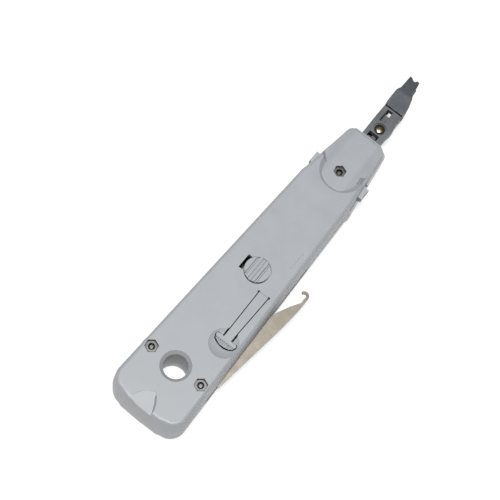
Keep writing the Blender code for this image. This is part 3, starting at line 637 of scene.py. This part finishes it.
def tongue_plan(grow):
    """The tongue seen from above; grow widens it into the slits that free it from the lid."""
    root = 2.0 + grow
    root_y = TONGUE_ROOT_Y if grow else TONGUE_ROOT_Y - ROOT_GAP
    neck = 1.6 + grow
    slit = SLIT if grow else 0.0
    under = 1.7 * grow
    right = [(2.6, -33.0 - under), (3.9 + 0.4 * grow, -32.3 - under), (4.4 + grow, -31.2 - 0.5 * grow),
             (4.2 + grow, -30.6), (3.9 + grow, -30.4 + grow), (neck + slit, -30.4 + grow),
             (neck + slit, -27.2), (neck, -26.6), (root, root_y)]
    left = [(-x, y) for x, y in reversed(right)]
    return [(TONGUE_X + x, y) for x, y in [(-1.0, -33.4 - under), (1.0, -33.4 - under)] + right + left]


BUTTON_X = 0.3
BUTTON_Y = -2.9
scoop = slab("tail_scoop", [
    (-5.6, -74), (4.7, -74), (4.4, -68.6), (3.9, -65.8), (2.6, -63.4), (0.9, -61.9),
    (-1.0, -62.6), (-3.0, -64.0), (-4.5, -66.3), (-5.0, -68.2)], 20.4, 22)
work_on(scoop)
for near, far, drop, slide in ((-75, -73, -1.3, 0), (-69, -68, -1.1, -0.3), (-66.5, -65, -1.2, -1.0),
                               (-64.5, -63, -1.1, -1.2)):
    pick("VERT", lambda place, _: place.z < 21 and near < place.y < far and place.x > 0)
    bpy.ops.transform.translate(value=(slide * MM, 0, drop * MM))
pick("VERT", lambda place, _: place.z < 21 and place.y < -73 and place.x < 0)
bpy.ops.transform.translate(value=(0, 0, -0.7 * MM))
pick("VERT", lambda place, _: place.z > 21)
bpy.ops.transform.resize(value=(1.12, 1.06, 1), center_override=(0, -72 * MM, 0))
close_piece()

NOSE_X = 0.9
NOSE_Y = 50.3
NOSE_FLAT = 4.8
NOSE_REACH = 9.2
NOSE_FALL = 3.4
nose_floor = block("nose_floor", (-NOSE_FLAT, NOSE_FLAT), (38, 82), (10, FACE_Z - 1.0))
work_on(nose_floor)
for hand in (-1, 1):
    pick("FACE", lambda place, normal: normal.x * hand > 0.9)
    raise_by(0, (NOSE_REACH * hand, 0))
    pick("VERT", lambda place, _: place.x * hand > NOSE_REACH + 3 and place.z > 12)
    bpy.ops.transform.translate(value=(0, 0, -NOSE_FALL * MM))
close_piece()
nose_step = slab("nose_step", arc(NOSE_X, NOSE_Y, NOSE_REACH, 180, 360, 28) + [
    (10.6, 56), (12, 80), (-12, 80), (-9.6, 56)], 15, 22)
work_on(nose_step)
for low, high, grow in ((14, 16, 0.337), (21, 23, 1.18)):
    pick("VERT", lambda place, _: low < place.z < high and place.y < NOSE_Y + 0.2)
    bpy.ops.transform.resize(value=(grow, grow, 1), center_override=(NOSE_X * MM, NOSE_Y * MM, 0))
close_piece()
carve(nose_step, nose_floor)
carve(upper, nose_step)
carve(
    upper,
    flared_bore(HANGER_Y, ((9, 4.6), (19.2, 4.6), (20.45, 5.8), (20.55, 6.0), (22, 6.0))),
    ball("thumb_dish", TONGUE_X, DISH_Y, FACE_Z + 10.46, 11.96),
    block("button_slot", (-5.9, 3.1), (BUTTON_Y - 3.2, BUTTON_Y + 3.1), (17, 22)),
    drum("button_recess", BUTTON_X, BUTTON_Y, 5.4, 19.6, 22, sides=96),
    hex_bore(-SCREW_X, SCREW_Y, 4.6, 17.8, 22),
    hex_bore(SCREW_X, SCREW_Y, 4.6, 17.8, 22),
    drum("screw_hole", -SCREW_X, SCREW_Y, 1.3, 9, 19, sides=32),
    drum("screw_hole", SCREW_X, SCREW_Y, 1.3, 9, 19, sides=32),
    scoop,
    hex_bore(0, NOSE_SCREW_Y, 4.5, 16.6, 22),
    drum("screw_hole", 0, NOSE_SCREW_Y, 1.3, 9, 18, sides=32),
    block("nose_mouth", (-4.4, 5.6), (64, 75), (9, 14.1)),
    block("lock_slot", (-15, 15), (42.8, 56.4), (9, 12.7)),
    slab("tongue_opening", tongue_plan(SLIT), 17, 22),
    block("witness_line", (9.45, 9.75), (5.7, 13.3), (20.0, 22)),
    drum("slit_end", 5.8, -8.9, 0.5, 18, 22, sides=24),
    drum("slit_end", 10.2, -8.7, 0.5, 18, 22, sides=24),
)
smooth(upper)
finish(upper, handle_abs, "handle_abs", "handle", "upper_cover")


# --------------------------------------------------------------------- the release tongue
# A springy strip left standing in the lid by two slits. Its T-shaped end sits in the
# dish, with a steep face that a fingernail pushes, and a peg under it holds the leaves.
tongue = slab("t_headed_tongue", tongue_plan(0.0), 18.9, 20.5)
nail_face = block("nail_face", (2, 14), (-36.0, -31.7), (20.5, 22))
work_on(nail_face)
pick("VERT", lambda place, _: place.z < 21 and place.y < -35)
bpy.ops.transform.translate(value=(0, 0, -3.4 * MM))
close_piece()
carve(tongue, nail_face)
for step in range(9):
    x = TONGUE_X - 3.6 + 0.9 * step
    carve(tongue, block("nail_groove", (x - 0.12, x + 0.12), (-34, -31.9), (19.0, 22)))
carve(tongue, drum("peg", TONGUE_X + 0.4, -31.9, 1.3, 11.4, 19.2, sides=32), operation="UNION")
soften(tongue, 0.06)
finish(tongue, handle_abs, "handle_abs", "tongue", "release_tongue")


# ----------------------------------------------------------------------- the eject button
# A round ribbed thumb pad of the same ABS on a stem that runs in the slot across the
# lid, snapped into a carrier underneath.
PAD_TOP = 21.7
button = drum("ribbed_thumb_pad", BUTTON_X, BUTTON_Y, 4.9, 20.8, PAD_TOP, sides=96)
stem = block("stem", (-2.6, 2.7), (BUTTON_Y - 2.8, BUTTON_Y + 2.8), (18.5, 21.0))
carve(button, stem, operation="UNION")
for x, wide, deep, floor in ((-2.2, 1.0, 0.8, 0.3), (0.2, 2.0, 0.5, 0.25), (2.6, 1.0, 0.8, 0.3)):
    groove = block("groove", (x - wide / 2, x + wide / 2), (-9, 4), (PAD_TOP - deep, PAD_TOP + 0.02))
    work_on(groove)
    pick("FACE", lambda place, normal: normal.z < -0.9)
    bpy.ops.transform.resize(value=(floor, 1, 1), center_override=(x * MM, 0, 0))
    close_piece()
    carve(button, groove)
soften(button, 0.08)
finish(button, handle_abs, "handle_abs", "ejector", "eject_button")
refinish("eject_carrier", handle_abs)


# --------------------------------------------------------------------- the screws and nuts
# Three zinc-plated pan-head screws go in from below through both covers, and the nuts
# lie in hexagonal pockets in the lid, a little below its face.
def make_screw(name, head_radius, shank_radius, top):
    screw = drum(name, 0, 0, shank_radius, 2.0, top - 0.3, sides=32)
    carve(screw, drum("point", 0, 0, shank_radius, top - 0.3, top, shank_radius - 0.3, sides=32),
          operation="UNION")
    pan = drum("pan", 0, 0, head_radius, 0.6, 2.2, sides=48)
    carve(screw, pan, operation="UNION")
    long = head_radius * 0.62
    for x_half, y_half in ((long, 0.28), (0.28, long)):
        carve(screw, block("cross", (-x_half, x_half), (-y_half, y_half), (0, 1.5)))
    soften(screw, 0.12)
    return screw


def make_nut(name, across_flats, hole_radius, low, high):
    nut = hex_bore(0, 0, across_flats, low, high)
    nut.name = name
    carve(nut, drum("chamfer", 0, 0, across_flats / 2 * 1.45, low, high + 0.9, across_flats / 2 * 0.86,
                    sides=64), operation="INTERSECT")
    carve(nut, drum("thread_hole", 0, 0, hole_radius, low - 1, high + 1, sides=48))
    soften(nut, 0.1)
    return nut


def copy_to(piece, name, x, y):
    """Another of the same piece with a mesh of its own, moved to its place; the first stays put."""
    again = piece.copy()
    again.data = piece.data.copy()
    again.name = name
    bpy.context.collection.objects.link(again)
    again.data.transform(Matrix.Translation((x * MM, y * MM, 0)))
    return again


tail_screw = make_screw("pan_head_screw", 1.95, 1.0, 19.4)
tail_nut = make_nut("hex_nut", 4.0, 1.3, 18.1, 19.7)
nose_screw = make_screw("small_pan_head_screw", 1.95, 1.0, 18.0)
nose_nut = make_nut("small_hex_nut", 4.0, 1.3, 16.9, 18.3)
for master, slot, places in (
    (tail_screw, "tail_screw", (("left", -SCREW_X, SCREW_Y), ("right", SCREW_X, SCREW_Y))),
    (tail_nut, "tail_nut", (("left", -SCREW_X, SCREW_Y), ("right", SCREW_X, SCREW_Y))),
    (nose_screw, "nose_screw", (("", 0, NOSE_SCREW_Y),)),
    (nose_nut, "nose_nut", (("", 0, NOSE_SCREW_Y),)),
):
    for side, x, y in places:
        node = f"{slot}_{side}" if side else slot
        piece = copy_to(master, f"{master.name}_{side or 'nose'}", x, y)
        finish(piece, zinc_steel, "zinc_steel", "handle", node)
    bpy.data.objects.remove(master, do_unlink=True)


# ------------------------------------------------------------- the table and the light
# A matt table lit from behind, as for a catalogue, so that nothing on it throws a shadow,
# and one wide soft light overhead.
leave_edit()
bpy.ops.mesh.primitive_plane_add(size=40.0, location=(0, 0, -0.3 * MM))
table = bpy.context.object
table.name = "pale_table"
card, card_shader, card_where = start_material("matt_white_card", Roughness=0.95, Emission_Strength=0.76)
card_fibre = add_node(card, "ShaderNodeTexNoise", {"Vector": (card_where, "Object")},
                      {"Scale": 300.0, "Detail": 2.0})
card_tone = ramp_between(add_node(card, "ShaderNodeValToRGB", {"Fac": (card_fibre, "Fac")}),
                         ((0.3, "8A8A8A"), (0.7, "8D8D8D")))
drive(card, card_shader, "Base Color", card_tone, "Color")
card_shader.inputs["Emission Color"].default_value = (1, 1, 1, 1)
table.data.materials.append(card)

world = bpy.data.worlds.new("studio")
bpy.context.scene.world = world
world.use_nodes = True
world.node_tree.nodes["Background"].inputs["Color"].default_value = (1, 1, 1, 1)
world.node_tree.nodes["Background"].inputs["Strength"].default_value = 0.05

lamp = bpy.data.lights.new("overhead", "SUN")
lamp.angle = math.radians(14)
lamp.energy = 3.4
overhead = bpy.data.objects.new("overhead", lamp)
bpy.context.collection.objects.link(overhead)
overhead.rotation_euler = Vector((0.0, -0.09, 1.0)).to_track_quat("Z", "Y").to_euler()

camera = bpy.data.objects.new("camera", bpy.data.cameras.new("camera"))
bpy.context.collection.objects.link(camera)
camera.location = Vector((52.2, -162.69, 467.52)) * MM
toward = Vector((-7.99, 5.61, 10.0)) * MM - camera.location
CAMERA_ROLL = math.radians(19.367)
camera.rotation_euler = (toward.to_track_quat("-Z", "Y").to_matrix()
                         @ Matrix.Rotation(CAMERA_ROLL, 3, "Z")).to_euler()
camera.data.lens = 93.6
camera.data.sensor_width = 36.0
camera.data.clip_start = 0.01
bpy.context.scene.camera = camera
bpy.context.scene.view_settings.view_transform = "Standard"
